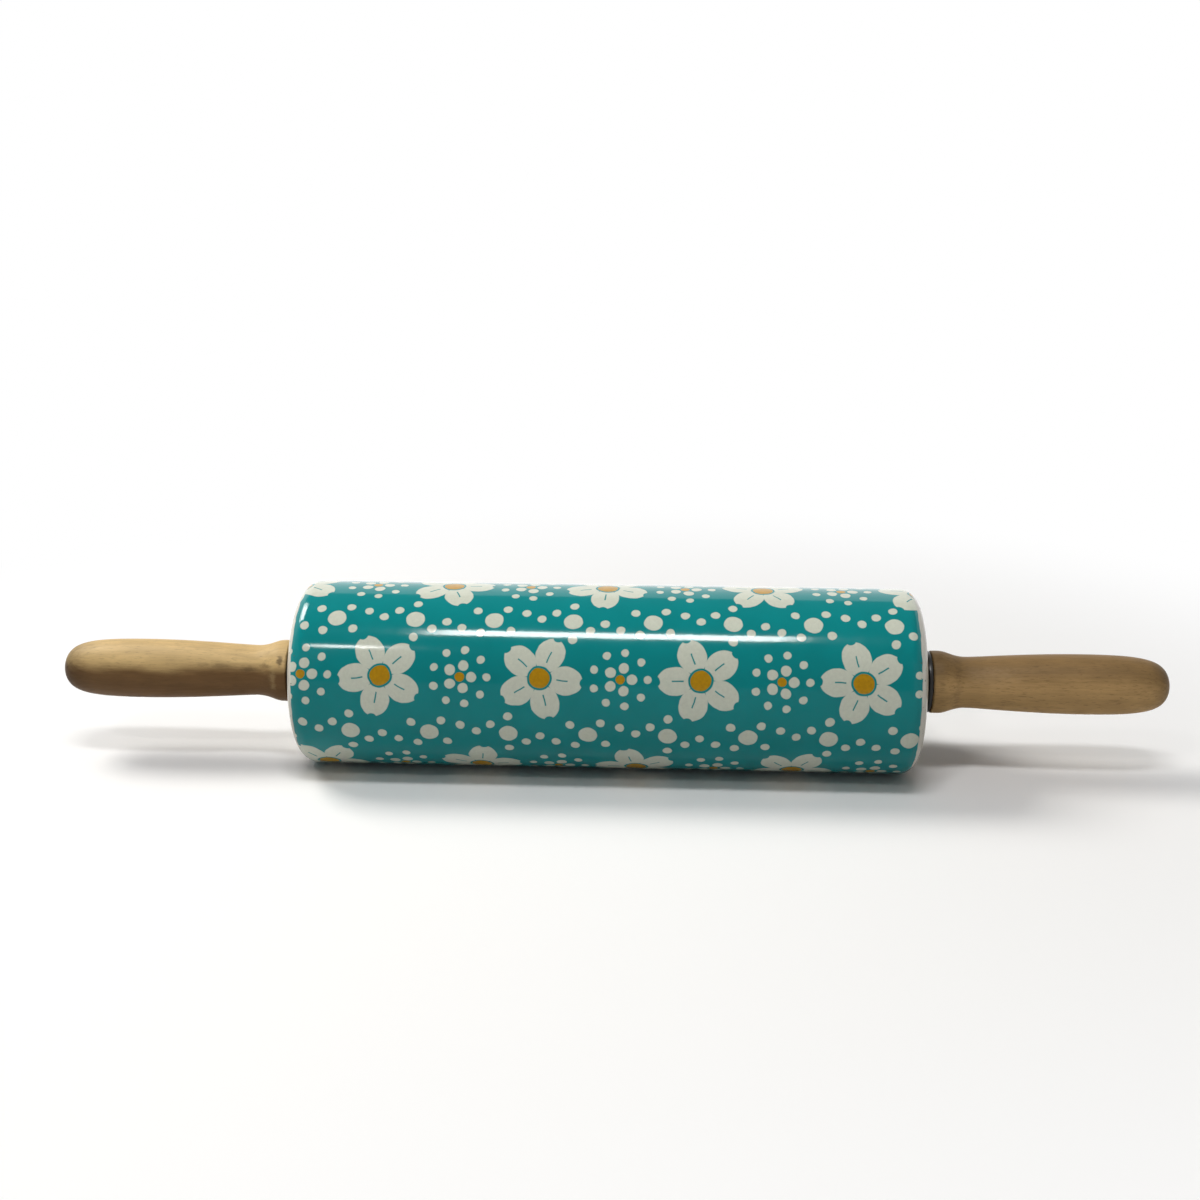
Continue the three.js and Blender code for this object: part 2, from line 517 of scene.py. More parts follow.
    def blossom(self, sheet: Sheet, cell: Cell) -> tuple[Signal, Signal]:
        """A large flower of broad notched petals round a plain heart, turned at random in each repeat.

        Args:
            sheet: The node sheet.
            cell: The place in the repeat.

        Returns:
            Where the petals are printed, and where the heart is.
        """
        chance = sheet.node("ShaderNodeTexWhiteNoise", noise_dimensions="2D")
        sheet.plug(chance.inputs["Vector"], sheet.vector(cell.row, cell.column, 0.0))
        turned = Signal(sheet, chance.outputs["Value"]) * FULL_TURN
        out, across = self.folded(sheet, cell, self.petals, turned)
        petal = ((out - self.petal_centre) / self.petal_length).squared()
        petal = petal + (across / self.petal_width).squared()
        petal = (petal.root() - 1.0) * self.petal_width
        notch = ((out - self.notch_centre).squared() + across.squared()).root()
        petal = petal.at_least(self.notch_radius - notch)
        petal = petal.at_least(self.heart_radius + self.heart_gap - cell.radius())
        slit_middle = (self.slit_start + self.slit_end) / 2
        slit_half = (self.slit_end - self.slit_start) / 2
        slit = (abs(across) - self.slit_width / 2).at_least(abs(out - slit_middle) - slit_half)
        petal = petal.at_least(0.0 - slit)
        return self.inked(sheet, petal), self.inked(sheet, cell.radius() - self.heart_radius)

    def motifs(self, sheet: Sheet, along: Signal, around: Signal) -> tuple[Signal, Signal]:
        """Lays out all the motifs of the print.

        Args:
            sheet: The node sheet.
            along: The place along the axle.
            around: The place around the barrel.

        Returns:
            Where white is printed, and where ochre is printed over it.
        """
        white, ochre = self.blossom(sheet, self.cell(along, around, self.blossom_place))
        posy = self.cell(along, around, self.posy_place)
        rings = (
            (self.petals, self.posy_ring, self.posy_petal),
            (self.wreath_dots, self.wreath_radius, self.wreath_dot),
        )
        for ring in rings:
            white = white.at_least(self.wreath(sheet, posy, *ring))
        ochre = ochre.at_least(self.inked(sheet, posy.radius() - self.posy_heart))
        for places, size in ((self.large_dots, self.large_dot), (self.small_dots, self.small_dot)):
            for shares in places:
                dot = self.inked(sheet, self.cell(along, around, shares).radius() - size)
                white = white.at_least(dot)
        return white, ochre

    def build(self) -> bpy.types.Material:
        """Makes the material.

        Returns:
            The finished material.
        """
        sheet = Sheet("printed_glaze")
        x, y, z = sheet.place()
        point = sheet.vector(x, y, z)
        radius = (y.squared() + z.squared()).root()
        angle = sheet.math("ARCTAN2", y, z)
        jitter = sheet.noise(point, *self.waver_along).swing() * self.wobble
        other_jitter = sheet.noise(sheet.vector(z, x, y), *self.waver_around).swing() * self.wobble
        along = x / MM + jitter
        white, ochre = self.motifs(sheet, along, angle * (self.barrel_radius / MM) + other_jitter)

        cloud = sheet.noise(point, *self.cloud)
        speck = sheet.noise(point, *self.speck)
        teal = sheet.toned(self.teal, cloud, self.teal_tone)
        cream = sheet.toned(self.cream, speck, self.cream_tone)
        gold = sheet.toned(self.ochre, speck, self.ochre_tone)
        colour = sheet.mix(white, teal, cream)
        colour = sheet.mix(ochre, colour, gold)
        print_end = self.barrel_half / MM - self.bare_rim
        past_end = abs(along - self.print_shift) - print_end
        bare = sheet.between(past_end, -self.ink_edge, self.ink_edge)
        inside = sheet.between(radius, *(self.barrel_radius - depth for depth in self.print_depth))
        body = sheet.toned(self.body, cloud, self.body_tone)
        colour = sheet.mix(bare.at_least(inside), colour, body)
        near_end = 1.0 - sheet.between(abs(past_end), *self.pinhole_band)
        pinholes = sheet.between(sheet.noise(point, *self.pinhole), *self.pinhole_size)
        colour = sheet.mix(pinholes * near_end * self.pinhole_share, colour, self.soot)
        ripple = sheet.noise(point, *self.ripple)
        return sheet.surface(
            Base_Color=colour,
            Roughness=sheet.spread(sheet.noise(point, *self.gloss), *self.roughness),
            IOR=self.glaze_ior,
            Normal=sheet.bump(ripple, *self.ripple_relief),
        )


@dataclass(frozen=True)
class StainAndPaintedLight:
    """A handling mark, a painted highlight or a painted shade on the wood, by its middle and its half
    lengths in millimetres.
    """

    middle: tuple[float, float, float]
    reach: tuple[float, float, float]
    depth: float
    colour: Colour = (0.08, 0.048, 0.024)


@dataclass(frozen=True)
class Streak:
    """A dark growth band along the wood, by its turn across the grain, its place and its half width."""

    turn: float
    line: float
    half_width: float
    depth: float


@dataclass(frozen=True)
class TurnedWood:
    """Pale hardwood with a darker heart side, fine grain, handling marks and a thin oil finish; the heart
    side and the darker tip are partly painted shade, and some marks are painted highlight and shade.
    """

    name: str
    tip: float
    pith: tuple[float, float]
    pale: Colour
    heart: Colour
    heart_and_shade_turn: float
    heart_and_shade_line: float
    heart_and_shade_blur: float
    streaks: tuple[Streak, ...]
    stains_and_painted_light: tuple[StainAndPaintedLight, ...]
    pore: Colour = (0.09, 0.052, 0.024)
    pore_share: float = 0.3
    ring_gap: float = 1.9 * MM
    ring_wander: float = 2.4
    ring_share: float = 0.1
    fibre_share: float = 0.3
    mottle_share: float = 0.36
    wander: float = 5.0 * MM
    fibre_wander: float = 1.0 * MM
    tip_dark_length: float = 10 * MM
    tip_dark_share: float = 0.4
    fibre: DrawnNoise = (75.0, 1250.0, 3.0)
    dashes: DrawnNoise = (340.0, 2300.0, 1.0)
    mottle: DrawnNoise = (110.0, 240.0, 3.0)
    drift: DrawnNoise = (32.0, 80.0, 3.0)
    smear: DrawnNoise = (420.0, 1100.0, 5.0)
    smear_share: float = 1.7
    spot_edge: Range = (0.3, 1.1)
    streak_edge: Range = (0.3, 1.5)
    late_wood: Range = (0.3, 0.9)
    pore_size: Range = (0.58, 0.7)
    roughness: Range = (0.42, 0.64)
    shine: float = 0.15
    fibre_height: float = 0.6
    pore_depth: float = 0.5
    relief: Relief = (0.3, 0.15 * MM)

    def across(self, y: Signal, z: Signal, degrees: float) -> Signal:
        """The place along a direction across the grain, turned from +Z towards +Y."""
        turned = math.radians(degrees)
        return y * math.sin(turned) + z * math.cos(turned)

    def marked(self, sheet: Sheet, colour: object, place: Place) -> object:
        """Adds the handling marks, the painted highlight and the painted shade, broken up along the grain.

        Args:
            sheet: The node sheet.
            colour: The wood's colour so far.
            place: The surface point.

        Returns:
            The marked colour.
        """
        smear = sheet.drawn(place, *self.smear)
        for spot in self.stains_and_painted_light:
            off = [(axis - c * MM) / (r * MM) for axis, c, r in zip(place, spot.middle, spot.reach)]
            far = (off[0].squared() + off[1].squared() + off[2].squared()).root()
            mark = 1.0 - sheet.between(far + smear.swing() * self.smear_share, *self.spot_edge)
            colour = sheet.mix(mark * spot.depth, colour, spot.colour)
        return colour

    def build(self) -> bpy.types.Material:
        """Makes the material.

        Returns:
            The finished material.
        """
        sheet = Sheet(self.name)
        place = sheet.place()
        x, y, z = place
        fibre = sheet.drawn(place, *self.fibre)
        dashes = sheet.drawn(place, *self.dashes)
        mottle = sheet.drawn(place, *self.mottle)
        drift = sheet.drawn(place, *self.drift).swing()
        sway = drift * self.wander + fibre.swing() * self.fibre_wander
        # The heart side darkens one side of each handle: partly heartwood, partly painted shade, on the
        # left handle's lower half and on the right handle's top.
        half_blur = self.heart_and_shade_blur / 2
        depth = self.across(y, z, self.heart_and_shade_turn) + sway
        heart = sheet.between(depth, self.heart_and_shade_line - half_blur, self.heart_and_shade_line + half_blur)
        from_pith = ((y - self.pith[0]).squared() + (z - self.pith[1]).squared()).root()
        ring = sheet.math("FRACT", from_pith / self.ring_gap + drift * self.ring_wander)
        late = sheet.between(ring, *self.late_wood) * (1.0 - sheet.between(ring, self.late_wood[1], 1.0))
        dark = sheet.math("ADD", heart, late * self.ring_share, clamp=True)
        colour = sheet.mix(dark, self.pale, self.heart)
        for streak in self.streaks:
            off = abs(self.across(y, z, streak.turn) + sway - streak.line)
            band = 1.0 - sheet.between(off, *(streak.half_width * share for share in self.streak_edge))
            colour = sheet.mix(band * streak.depth, colour, self.heart)
        tone = 1.0 + mottle.swing() * self.mottle_share - fibre.swing() * self.fibre_share
        # Darker towards the tip: end grain, and partly painted shade of the tip.
        tip_dark = sheet.between(abs(x), self.tip - self.tip_dark_length, self.tip)
        colour = sheet.shade(colour, tone - tip_dark * self.tip_dark_share)
        pore = sheet.between(dashes, *self.pore_size)
        colour = sheet.mix(pore * self.pore_share, colour, self.pore)
        return sheet.surface(
            Base_Color=self.marked(sheet, colour, place),
            Roughness=sheet.spread(fibre, *self.roughness),
            Specular_IOR_Level=self.shine,
            Normal=sheet.bump(fibre * self.fibre_height - pore * self.pore_depth, *self.relief),
        )


@dataclass(frozen=True)
class MouldedPlastic:
    """Near-black moulded plastic with a faint spark texture and dulled patches."""

    name: str
    colour: Colour
    roughness: Range
    spark: Noise = (2600.0, 2.0)
    dulling: Noise = (190.0, 3.0)
    tone: Range = (0.7, 1.5)
    relief: Relief = (0.2, 0.08 * MM)

    def build(self) -> bpy.types.Material:
        """Makes the material.

        Returns:
            The finished material.
        """
        sheet = Sheet(self.name)
        point = sheet.vector(*sheet.place())
        spark = sheet.noise(point, *self.spark)
        dulled = sheet.noise(point, *self.dulling)
        return sheet.surface(
            Base_Color=sheet.toned(self.colour, dulled, self.tone),
            Roughness=sheet.spread(dulled, *self.roughness),
            Normal=sheet.bump(spark, *self.relief),
        )


@dataclass(frozen=True)
class TurnedMetal:
    """Metal with the fine rings that a cutting tool leaves."""

    name: str
    colour: Colour
    roughness: Range
    rings: DrawnNoise = (5200.0, 40.0, 2.0)
    film: Noise = (240.0, 3.0)
    tone: Range = (0.8, 1.1)
    relief: Relief = (0.15, 0.04 * MM)

    def build(self) -> bpy.types.Material:
        """Makes the material.

        Returns:
            The finished material.
        """
        sheet = Sheet(self.name)
        place = sheet.place()
        rings = sheet.drawn(place, *self.rings)
        film = sheet.noise(sheet.vector(*place), *self.film)
        return sheet.surface(
            Base_Color=sheet.toned(self.colour, film, self.tone),
            Metallic=1.0,
            Roughness=sheet.spread(film, *self.roughness),
            Normal=sheet.bump(rings, *self.relief),
        )


def arc(centre: tuple[float, float], radius: float, start: float, end: float, steps: int) -> Outline:
    """A round stretch of an outline.

    Args:
        centre: The station and radius of the arc's centre.
        radius: The arc's own radius.
        start: The angle where it starts, in degrees from the station axis.
        end: The angle where it ends.
        steps: How many edges it has.

    Returns:
        The points, both ends included.
    """
    angles = [math.radians(start + (end - start) * i / steps) for i in range(steps + 1)]
    return [(centre[0] + radius * math.cos(a), centre[1] + radius * math.sin(a)) for a in angles]


def bezier(points: tuple[tuple[float, float], ...], steps: int) -> Outline:
    """A curved stretch of an outline.

    Args:
        points: The start, its pull, the end's pull and the end, as stations and radii.
        steps: How many edges it has.

    Returns:
        The points, both ends included.
    """
    start, start_pull, end_pull, end = (Vector((*point, 0.0)) for point in points)
    return [(p.x, p.y) for p in interpolate_bezier(start, start_pull, end_pull, end, steps + 1)]


def straight(start: tuple[float, float], end: tuple[float, float], steps: int) -> Outline:
    """A straight stretch of an outline, cut into equal edges."""
    return [tuple(a + (b - a) * i / steps for a, b in zip(start, end)) for i in range(steps + 1)]


def deselect() -> None:
    """Leaves nothing selected, so that an operator acts on its own piece alone."""
    bpy.ops.object.select_all(action="DESELECT")


def settle() -> None:
    """Moves the selected object's place, turn and scale into its mesh."""
    bpy.ops.object.transform_apply(location=True, rotation=True, scale=True)


def turn(name: str, outline: Outline, steps: int, side: Side = Side.RIGHT) -> bpy.types.Object:
    """Turns an outline about the axle, as on a lathe.

    Args:
        name: The piece's name.
        outline: Stations along the axle and radii, modelled for the right-hand end.
        steps: How many sides the piece has round the axle.
        side: The end that the piece belongs to.

    Returns:
        The turned piece, at the origin with its place in its mesh.
    """
    points = [Vector((station * side.value, 0.0, radius)) for station, radius in outline]
    chain = [points[0]]
    for point in points[1:]:
        if (point - chain[-1]).length > SAME_POINT:
            chain.append(point)
    deselect()
    bpy.ops.mesh.primitive_plane_add(size=MM, location=chain[0])
    piece = bpy.context.object
    piece.name = name
    piece.data.name = name
    settle()
    bpy.ops.object.mode_set(mode="EDIT")
    bpy.ops.mesh.select_all(action="SELECT")
    bpy.ops.mesh.merge(type="CENTER")
    for here, there in zip(chain, chain[1:]):
        bpy.ops.mesh.extrude_vertices_move(TRANSFORM_OT_translate={"value": there - here})
    bpy.ops.mesh.select_all(action="SELECT")
    bpy.ops.mesh.spin(steps=steps, angle=FULL_TURN, center=(0, 0, 0), axis=(1, 0, 0))
    bpy.ops.mesh.select_all(action="SELECT")
    bpy.ops.mesh.remove_doubles(threshold=WELD_GAP)
    bpy.ops.mesh.normals_make_consistent(inside=False)
    bpy.ops.object.mode_set(mode="OBJECT")
    bpy.ops.object.shade_smooth_by_angle(angle=SMOOTH_ANGLE)
    return piece


def dress(piece: bpy.types.Object, material: bpy.types.Material, body: Body, node: str) -> None:
    """Gives a piece its finish and its body, and hides the node that it stands for.

    Args:
        piece: The modelled piece.
        material: Its finish.
        body: The body that it moves with.
        node: The node that it stands for.
    """
    piece.data.materials.clear()
    piece.data.materials.append(material)
    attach(piece, body.value)
    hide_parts(node)
    LOG.info("%s: %d faces for %s", piece.name, len(piece.data.polygons), node)


def reach(node: str) -> tuple[float, float]:
    """The stations between which a right-hand node lies."""
    low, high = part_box(node)
    return low.x, high.x


@dataclass
class Roller:
    """The barrel with the bushes glued into its mouths."""

    radius: float = 35 * MM
    rim_radius: float = 6.5 * MM
    mouth_radius: float = 17 * MM
    mouth_depth: float = 18 * MM
    mouth_edge: float = 0.8 * MM
    cavity_radius: float = 21 * MM
    cavity_shoulder: float = 9 * MM
    glue_line: float = 0.3 * MM
    flange_radius: float = 20 * MM
    flange_thickness: float = 1.6 * MM
    flange_edge: float = 0.8 * MM
    nose_radius: float = 11.6 * MM
    nose_edge: float = 0.3 * MM
    bore_radius: float = 4.3 * MM
    plug_wall: float = 2 * MM
    plug_length: float = 14 * MM
    plug_lead_in: float = 0.8 * MM
    hub_radius: float = 6.9 * MM
    web_count: int = 6
    web_thickness: float = 1.6 * MM
    web_depth: float = 11 * MM
    web_root: float = 0.6 * MM
    barrel_sides: int = 192
    mouth_steps: int = 6
    rim_steps: int = 20
    wall_steps: int = 24
    bend_steps: int = 10
    bush_sides: int = 96
    flange_steps: int = 8
    nose_steps: int = 5
    half: float = field(init=False)

    def __post_init__(self) -> None:
        """Takes the barrel's half length from the frame."""
        self.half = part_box("barrel")[1].x

    def barrel(self) -> bpy.types.Object:
        """Models the barrel: outer wall, rims, mouths and cavity.

        Returns:
            The barrel.
        """
        rim = self.half - self.rim_radius
        core = self.radius - self.rim_radius
        edge = self.mouth_edge
        lip = self.half - edge
        mouth_end = self.half - self.mouth_depth
        cavity_end = mouth_end - self.cavity_shoulder
        bend = mouth_end - self.cavity_shoulder / 2
        mouth, cavity = self.mouth_radius, self.cavity_radius
        inward = ((mouth_end, mouth), (bend, mouth), (bend, cavity), (cavity_end, cavity))
        outward = ((-cavity_end, cavity), (-bend, cavity), (-bend, mouth), (-mouth_end, mouth))
        outline = arc((-lip, mouth + edge), edge, 270, 180, self.mouth_steps)
        outline += arc((-rim, core), self.rim_radius, 180, 90, self.rim_steps)
        outline += straight((-rim, self.radius), (rim, self.radius), self.wall_steps)
        outline += arc((rim, core), self.rim_radius, 90, 0, self.rim_steps)
        outline += arc((lip, mouth + edge), edge, 0, -90, self.mouth_steps)
        outline += bezier(inward, self.bend_steps)
        outline += bezier(outward, self.bend_steps)
        outline.append(outline[0])
        return turn("printed_barrel", outline, self.barrel_sides)

    def bush(self, side: Side) -> bpy.types.Object:
        """Models a bush: flange, nose, plug, hub and webs.

        Args:
            side: The end that it closes.

        Returns:
            The bush.
        """
        hub_end, nose_face = reach("right_end_bush")
        seat = self.half + self.glue_line
        face = seat + self.flange_thickness
        plug = self.mouth_radius - self.glue_line
        plug_end = seat - self.plug_length
        pocket = plug - self.plug_wall
        edge, nose_edge = self.flange_edge, self.nose_edge
        outline = [(plug_end, plug - self.plug_lead_in), (plug_end + self.plug_lead_in, plug)]
        outline += [(seat, plug), (seat, self.flange_radius)]
        outline += arc((face - edge, self.flange_radius - edge), edge, 90, 0, self.flange_steps)
        outline += [(face, self.nose_radius)]
        nose_centre = (nose_face - nose_edge, self.nose_radius - nose_edge)
        outline += arc(nose_centre, nose_edge, 90, 0, self.nose_steps)
        outline += [(nose_face, self.bore_radius), (hub_end, self.bore_radius)]
        outline += [(hub_end, self.hub_radius), (seat, self.hub_radius), (seat, pocket), (plug_end, pocket)]
        outline.append(outline[0])
        bush = turn(f"{side.word}_bush_moulding", outline, self.bush_sides, side)
        for index in range(self.web_count):
            self.add_web(bush, index, seat, pocket, side)
        bpy.ops.object.shade_smooth_by_angle(angle=SMOOTH_ANGLE)
        return bush

    def add_web(self, bush: bpy.types.Object, index: int, seat: float, pocket: float, side: Side) -> None:
        """Joins one web between the hub and the plug's wall.

        Args:
            bush: The bush so far.
            index: Which web it is, counted round the axle.
            seat: The station of the flange's seat.
            pocket: The radius inside the plug's wall.
            side: The end that the bush closes.
        """
        height = self.web_depth + self.web_root
        span = pocket - self.hub_radius + 2 * self.web_root
        middle = seat + self.web_root - height / 2
        deselect()
        bpy.ops.mesh.primitive_cube_add(size=1.0, location=(0, 0, 0))
        web = bpy.context.object
        web.scale = (height, self.web_thickness, span)
        web.location = (middle * side.value, 0.0, (pocket + self.hub_radius) / 2)
        settle()
        web.rotation_euler = (FULL_TURN * index / self.web_count, 0.0, 0.0)
        settle()
        deselect()
        bush.select_set(True)
        bpy.context.view_layer.objects.active = bush
        joined = bush.modifiers.new("web", "BOOLEAN")
        joined.operation = "UNION"
        joined.solver = "EXACT"
        joined.object = web
        bpy.ops.object.modifier_apply(modifier=joined.name)
        bpy.data.objects.remove(web)

    def build(self) -> None:
        """Models the barrel and both bushes and dresses them."""
        glaze = GlazedPrint(self.radius, self.half).build()
        dress(self.barrel(), glaze, Body.ROLLER, "barrel")
        plastic = MouldedPlastic("bush_moulding", (0.013, 0.013, 0.012), (0.32, 0.5)).build()
        for side in Side:
            dress(self.bush(side), plastic, Body.ROLLER, f"{side.word}_end_bush")


@dataclass
class Washers:
    """The thrust washers between the bushes and the handles."""

    radius: float = 11.6 * MM
    bore_radius: float = 4.3 * MM
    edge: float = 0.35 * MM
    edge_steps: int = 5
    sides: int = 96

    def washer(self, side: Side) -> bpy.types.Object:
        """Models a washer with rounded edges.

        Args:
            side: The end that it sits at.

        Returns:
            The washer.
        """
        seat, face = reach("right_thrust_washer")
        rim = self.radius - self.edge
        outline = [(seat, self.bore_radius)]
        outline += arc((seat + self.edge, rim), self.edge, 180, 90, self.edge_steps)
        outline += arc((face - self.edge, rim), self.edge, 90, 0, self.edge_steps)
        outline += [(face, self.bore_radius), (seat, self.bore_radius)]
        return turn(f"{side.word}_washer_ring", outline, self.sides, side)

    def build(self) -> None:
        """Models both washers and dresses them."""
        plastic = MouldedPlastic("washer_moulding", (0.018, 0.017, 0.015), (0.28, 0.45)).build()
        for side in Side:
            dress(self.washer(side), plastic, Body.WASHERS, f"{side.word}_thrust_washer")


@dataclass
class HandleSet:
    """The handles with their inserts, and the axle that joins them."""

    collar_radius: float = 11.8 * MM
    collar_edge: float = 0.7 * MM
    collar_width: float = 3.2 * MM
    neck_radius: float = 9.65 * MM
    neck_station: float = 13.4 * MM
    grip_radius: float = 11.35 * MM
    grip_from_tip: float = 32 * MM
    tip_radius: float = 10.6 * MM
    tip_rounding: float = 12.7 * MM
    tip_slope: float = 0.13
    collar_pull: float = 3 * MM
    flare_pull: float = 4.7 * MM
    neck_pull: float = 4.8 * MM
    grip_pull_inward: float = 20 * MM
    grip_pull_outward: float = 9 * MM
    shoulder_pull: float = 3.8 * MM
    tip_pull_along: float = 8 * MM
    tip_pull_across: float = 7.6 * MM
    hole_radius: float = 5.3 * MM
    hole_depth: float = 27 * MM
    drill_point: float = 3.2 * MM
    axle_radius: float = 4 * MM
    axle_end_length: float = 24 * MM
    thread_crest: float = 3 * MM
    thread_root: float = 2.5 * MM
    thread_pitch: float = 1 * MM
    insert_crest: float = 5 * MM
    insert_root: float = 4.4 * MM
    insert_pitch: float = 2.5 * MM
    insert_bore: float = 3.3 * MM
    handle_sides: int = 96
    thread_sides: int = 64
    collar_steps: int = 6
    neck_steps: int = 18
    shoulder_steps: int = 10
    tip_steps: int = 20

    def handle(self, side: Side) -> bpy.types.Object:
        """Models a handle: drilled hole, collar, flare, neck, grip and rounded tip.

        Args:
            side: The end that it belongs to.

        Returns:
            The handle.
        """
        face, tip = reach("right_handle")
        collar = face + self.collar_width
        neck = face + self.neck_station
        grip = tip - self.grip_from_tip
        shoulder = tip - self.tip_rounding
        rise = self.tip_slope * self.shoulder_pull
        fall = self.tip_slope * self.tip_pull_along
        outline = [(face + self.hole_depth + self.drill_point, 0.0)]
        outline += [(face + self.hole_depth, self.hole_radius), (face, self.hole_radius)]
        edge = self.collar_edge
        outline += arc((face + edge, self.collar_radius - edge), edge, 180, 90, self.collar_steps)
        outline += bezier((
            (collar, self.collar_radius),
            (collar + self.collar_pull, self.collar_radius),
            (neck - self.flare_pull, self.neck_radius),
            (neck, self.neck_radius),
        ), self.neck_steps)
        outline += bezier((
            (neck, self.neck_radius),
            (neck + self.neck_pull, self.neck_radius),
            (grip - self.grip_pull_inward, self.grip_radius),
            (grip, self.grip_radius),
        ), self.neck_steps)
        outline += bezier((
            (grip, self.grip_radius),
            (grip + self.grip_pull_outward, self.grip_radius),
            (shoulder - self.shoulder_pull, self.tip_radius + rise),
            (shoulder, self.tip_radius),
        ), self.shoulder_steps)
        outline += bezier((
            (shoulder, self.tip_radius),
            (shoulder + self.tip_pull_along, self.tip_radius - fall),
            (tip, self.tip_pull_across),
            (tip, 0.0),
        ), self.tip_steps)
        return turn(f"{side.word}_turned_handle", outline, self.handle_sides, side)

    def ridges(self, start: float, end: float, crest: float, root: float, pitch: float) -> Outline:
        """A run of thread ridges.

        Args:
            start: The station where the run starts.
            end: The station where it ends.
            crest: The radius of the ridges.
            root: The radius between them.
            pitch: The distance from ridge to ridge.

        Returns:
            The outline of the run.
        """
        count = int((end - start) / pitch)
        run = [(start, root)]
        for index in range(count):
            run.append((start + (index + 0.5) * pitch, crest))
            run.append((start + (index + 1) * pitch, root))
        return run

    def axle(self) -> bpy.types.Object:
        """Models the axle with threaded ends.

        Returns:
            The axle.
        """
        end = reach("axle_rod")[1]
        shoulder = end - self.axle_end_length
        thread = self.ridges(shoulder, end, self.thread_crest, self.thread_root, self.thread_pitch)
        half = [(shoulder, self.axle_radius), *thread, (end, 0.0)]
        other_half = [(-station, radius) for station, radius in reversed(half)]
        return turn("turned_axle", other_half + half, self.thread_sides)

    def insert(self, side: Side) -> bpy.types.Object:
        """Models a threaded insert.

        Args:
            side: The end that it belongs to.

        Returns:
            The insert.
        """
        face, end = reach("right_threaded_insert")
        outline = [(face, self.insert_bore)]
        outline += self.ridges(face, end, self.insert_crest, self.insert_root, self.insert_pitch)
        outline += [(end, self.insert_bore), (face, self.insert_bore)]
        return turn(f"{side.word}_turned_insert", outline, self.thread_sides, side)

    def pale_wood(self, tip: float) -> TurnedWood:
        """The left handle's wood: sapwood above, a darker heart below that is partly painted shade of the
        lower half, dark smudges near the neck and a painted highlight on the flare.

        Args:
            tip: The station of the handle's tip.

        Returns:
            The finish.
        """
        painted_flare_highlight = (0.5, 0.37, 0.18)
        return TurnedWood(
            "left_handle_wood_with_painted_light",
            tip,
            pith=(46 * MM, -30 * MM),
            pale=(0.61, 0.425, 0.185),
            heart=(0.17, 0.092, 0.036),
            # The heart below is partly heartwood and partly painted shade of the handle's lower half.
            heart_and_shade_turn=180.0,
            heart_and_shade_line=-3.4 * MM,
            heart_and_shade_blur=5.5 * MM,
            streaks=(Streak(180.0, -1.0 * MM, 2.0 * MM, 0.3),),
            stains_and_painted_light=(
                # The pale spot on the front of the flare is a painted highlight.
                StainAndPaintedLight((-127.0, -9.0, 0.5), (1.8, 6.0, 6.0), 0.3, painted_flare_highlight),
                StainAndPaintedLight((-124.2, -9.6, 7.2), (1.5, 4.0, 2.0), 0.72),
                StainAndPaintedLight((-130.0, -8.2, 4.9), (2.7, 4.0, 1.1), 0.48),
                StainAndPaintedLight((-136.3, -8.8, 3.5), (3.4, 4.0, 1.2), 0.42),
                StainAndPaintedLight((-147.4, -8.9, 4.6), (3.6, 4.0, 1.1), 0.28),
                StainAndPaintedLight((-154.0, -8.9, 5.3), (3.2, 4.0, 1.0), 0.24),
            ),
            pore_share=0.2,
            # The longer, deeper darkening of this tip is partly painted shade.
            tip_dark_length=16 * MM,
            tip_dark_share=0.5,
        )

    def shaded_brown_wood(self, tip: float) -> TurnedWood:
        """The right handle's wood: a brown with one darker band and a scuffed neck, darker than the left
        wood and darker on top, partly as painted shade of the barrel's shadow, with painted shade rings at
        the neck and the collar.

        Args:
            tip: The station of the handle's tip.

        Returns:
            The finish.
        """
        scuffed = (0.62, 0.43, 0.24)
        return TurnedWood(
            "right_handle_wood_with_painted_shade",
            tip,
            pith=(38 * MM, 44 * MM),
            # This brown, darker than the left handle's, and the heart side on top are partly painted shade
            # of the barrel's shadow.
            pale=(0.515, 0.322, 0.135),
            heart=(0.25, 0.152, 0.06),
            heart_and_shade_turn=25.0,
            heart_and_shade_line=0.0,
            heart_and_shade_blur=8 * MM,
            streaks=(Streak(45.0, 0.4 * MM, 1.7 * MM, 0.45),),
            stains_and_painted_light=(
                StainAndPaintedLight((144.0, -8.7, 4.6), (12.0, 5.0, 4.5), 0.13, scuffed),
                # The two dark rings, at the flare of the neck and at the collar beside the barrel, are
                # painted shade.
                StainAndPaintedLight((131.0, 0.0, 0.0), (2.2, 14.0, 14.0), 0.3),
                StainAndPaintedLight((125.0, 0.0, 0.0), (6.0, 18.0, 18.0), 0.12),
            ),
        )

    def build(self) -> None:
        """Models the handles, inserts and axle and dresses them."""
        steel = TurnedMetal("drawn_steel", (0.42, 0.43, 0.44), (0.22, 0.38)).build()
        brass = TurnedMetal("turned_brass", (0.46, 0.29, 0.08), (0.24, 0.4)).build()
        dress(self.axle(), steel, Body.HANDLES, "axle_rod")
        tip = reach("right_handle")[1]
        woods = {Side.LEFT: self.pale_wood(tip), Side.RIGHT: self.shaded_brown_wood(tip)}
        for side, wood in woods.items():
            dress(self.handle(side), wood.build(), Body.HANDLES, f"{side.word}_handle")
            dress(self.insert(side), brass, Body.HANDLES, f"{side.word}_threaded_insert")


